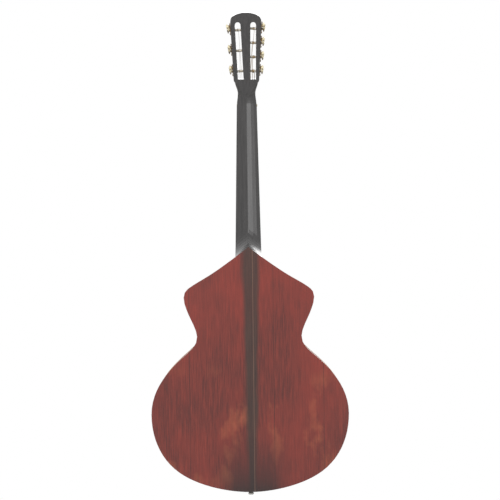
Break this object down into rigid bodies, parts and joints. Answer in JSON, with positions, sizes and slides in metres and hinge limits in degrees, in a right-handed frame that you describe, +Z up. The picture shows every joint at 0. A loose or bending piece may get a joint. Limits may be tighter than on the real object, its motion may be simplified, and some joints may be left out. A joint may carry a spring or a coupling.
{
  "type": "seven-string guitar",
  "caption": "Acoustic guitar with a pointed upper body, a V-shaped neck and a slotted head with separate worm-geared tuning machines.",
  "frame": {"origin": "the head's throat on the centreline, in the plane of the soundboard's outer face", "axes": "+Z up along the neck to the head, +Y out of the back, +X to the treble side"},
  "size_m": [0.4064, 0.1071, 1.0041],
  "materials": {
    "spruce": "varnished spruce",
    "stained_back": "red-brown stain and varnish",
    "ebonised": "black glossy varnish",
    "inner_wood": "bare",
    "bone": "aged ivory tone",
    "brass": "tarnished",
    "steel": "dull",
    "nickel": "dull nickel",
    "wound_string": "wound"
  },
  "bodies": {
    "guitar": {"soundboard": "spruce", "back_plate": "stained_back", "rib_bass": "stained_back", "rib_treble": "stained_back", "tail_block": "inner_wood", "neck": "ebonised", "fingerboard": "ebonised", "nut": "bone", "bridge": "ebonised", "saddle": "bone", "end_pin": "nickel", "bridge_pin_1": "bone", "bridge_pin_2": "bone", "bridge_pin_3": "bone", "bridge_pin_4": "bone", "bridge_pin_5": "bone", "bridge_pin_6": "bone", "bridge_pin_7": "bone", "string_1": "steel", "string_2": "steel", "string_3": "steel", "string_4": "wound_string", "string_5": "wound_string", "string_6": "wound_string", "string_7": "wound_string", "tuner_plate_1": "brass", "tuner_plate_2": "brass", "tuner_plate_3": "brass", "tuner_plate_4": "brass", "tuner_plate_5": "brass", "tuner_plate_6": "brass", "tuner_plate_7": "brass"},
    "worm_1": {"tuner_worm_1": "steel", "tuner_button_1": "bone"},
    "worm_2": {"tuner_worm_2": "steel", "tuner_button_2": "bone"},
    "worm_3": {"tuner_worm_3": "steel", "tuner_button_3": "bone"},
    "worm_4": {"tuner_worm_4": "steel", "tuner_button_4": "bone"},
    "worm_5": {"tuner_worm_5": "steel", "tuner_button_5": "bone"},
    "worm_6": {"tuner_worm_6": "steel", "tuner_button_6": "bone"},
    "worm_7": {"tuner_worm_7": "steel", "tuner_button_7": "bone"},
    "roller_1": {"tuner_roller_1": "steel", "tuner_gear_1": "brass"},
    "roller_2": {"tuner_roller_2": "steel", "tuner_gear_2": "brass"},
    "roller_3": {"tuner_roller_3": "steel", "tuner_gear_3": "brass"},
    "roller_4": {"tuner_roller_4": "steel", "tuner_gear_4": "brass"},
    "roller_5": {"tuner_roller_5": "steel", "tuner_gear_5": "brass"},
    "roller_6": {"tuner_roller_6": "steel", "tuner_gear_6": "brass"},
    "roller_7": {"tuner_roller_7": "steel", "tuner_gear_7": "brass"}
  },
  "joints": [
    {"name": "button_turn_1", "type": "hinge", "parent": "guitar", "child": "worm_1", "pos_m": [0.03325, 0.02473, 0.05104], "axis": [0, 0.9781, -0.2079], "continuous": true},
    {"name": "button_turn_2", "type": "hinge", "parent": "guitar", "child": "worm_2", "pos_m": [0.03532, 0.0336, 0.09281], "axis": [0, 0.9781, -0.2079], "continuous": true},
    {"name": "button_turn_3", "type": "hinge", "parent": "guitar", "child": "worm_3", "pos_m": [0.03739, 0.04248, 0.13457], "axis": [0, 0.9781, -0.2079], "continuous": true},
    {"name": "button_turn_4", "type": "hinge", "parent": "guitar", "child": "worm_4", "pos_m": [-0.03753, 0.04306, 0.13731], "axis": [0, 0.9781, -0.2079], "continuous": true},
    {"name": "button_turn_5", "type": "hinge", "parent": "guitar", "child": "worm_5", "pos_m": [-0.0361, 0.03695, 0.10855], "axis": [0, 0.9781, -0.2079], "continuous": true},
    {"name": "button_turn_6", "type": "hinge", "parent": "guitar", "child": "worm_6", "pos_m": [-0.03467, 0.03084, 0.0798], "axis": [0, 0.9781, -0.2079], "continuous": true},
    {"name": "button_turn_7", "type": "hinge", "parent": "guitar", "child": "worm_7", "pos_m": [-0.03325, 0.02473, 0.05104], "axis": [0, 0.9781, -0.2079], "continuous": true},
    {"name": "roller_turn_1", "type": "hinge", "parent": "guitar", "child": "roller_1", "pos_m": [0.0276, 0.02325, 0.04411], "axis": [0.9988, -0.0101, -0.0474], "continuous": true},
    {"name": "roller_turn_2", "type": "hinge", "parent": "guitar", "child": "roller_2", "pos_m": [0.02967, 0.03213, 0.08588], "axis": [0.9988, -0.0101, -0.0474], "continuous": true},
    {"name": "roller_turn_3", "type": "hinge", "parent": "guitar", "child": "roller_3", "pos_m": [0.03174, 0.04101, 0.12764], "axis": [0.9988, -0.0101, -0.0474], "continuous": true},
    {"name": "roller_turn_4", "type": "hinge", "parent": "guitar", "child": "roller_4", "pos_m": [-0.03188, 0.04159, 0.13038], "axis": [-0.9988, -0.0101, -0.0474], "continuous": true},
    {"name": "roller_turn_5", "type": "hinge", "parent": "guitar", "child": "roller_5", "pos_m": [-0.03045, 0.03548, 0.10162], "axis": [-0.9988, -0.0101, -0.0474], "continuous": true},
    {"name": "roller_turn_6", "type": "hinge", "parent": "guitar", "child": "roller_6", "pos_m": [-0.02902, 0.02937, 0.07287], "axis": [-0.9988, -0.0101, -0.0474], "continuous": true},
    {"name": "roller_turn_7", "type": "hinge", "parent": "guitar", "child": "roller_7", "pos_m": [-0.0276, 0.02325, 0.04411], "axis": [-0.9988, -0.0101, -0.0474], "continuous": true}
  ],
  "couplings": [
    {"joint": "roller_turn_1", "follows": "button_turn_1", "ratio": 0.071429},
    {"joint": "roller_turn_2", "follows": "button_turn_2", "ratio": 0.071429},
    {"joint": "roller_turn_3", "follows": "button_turn_3", "ratio": 0.071429},
    {"joint": "roller_turn_4", "follows": "button_turn_4", "ratio": -0.071429},
    {"joint": "roller_turn_5", "follows": "button_turn_5", "ratio": -0.071429},
    {"joint": "roller_turn_6", "follows": "button_turn_6", "ratio": -0.071429},
    {"joint": "roller_turn_7", "follows": "button_turn_7", "ratio": -0.071429}
  ]
}
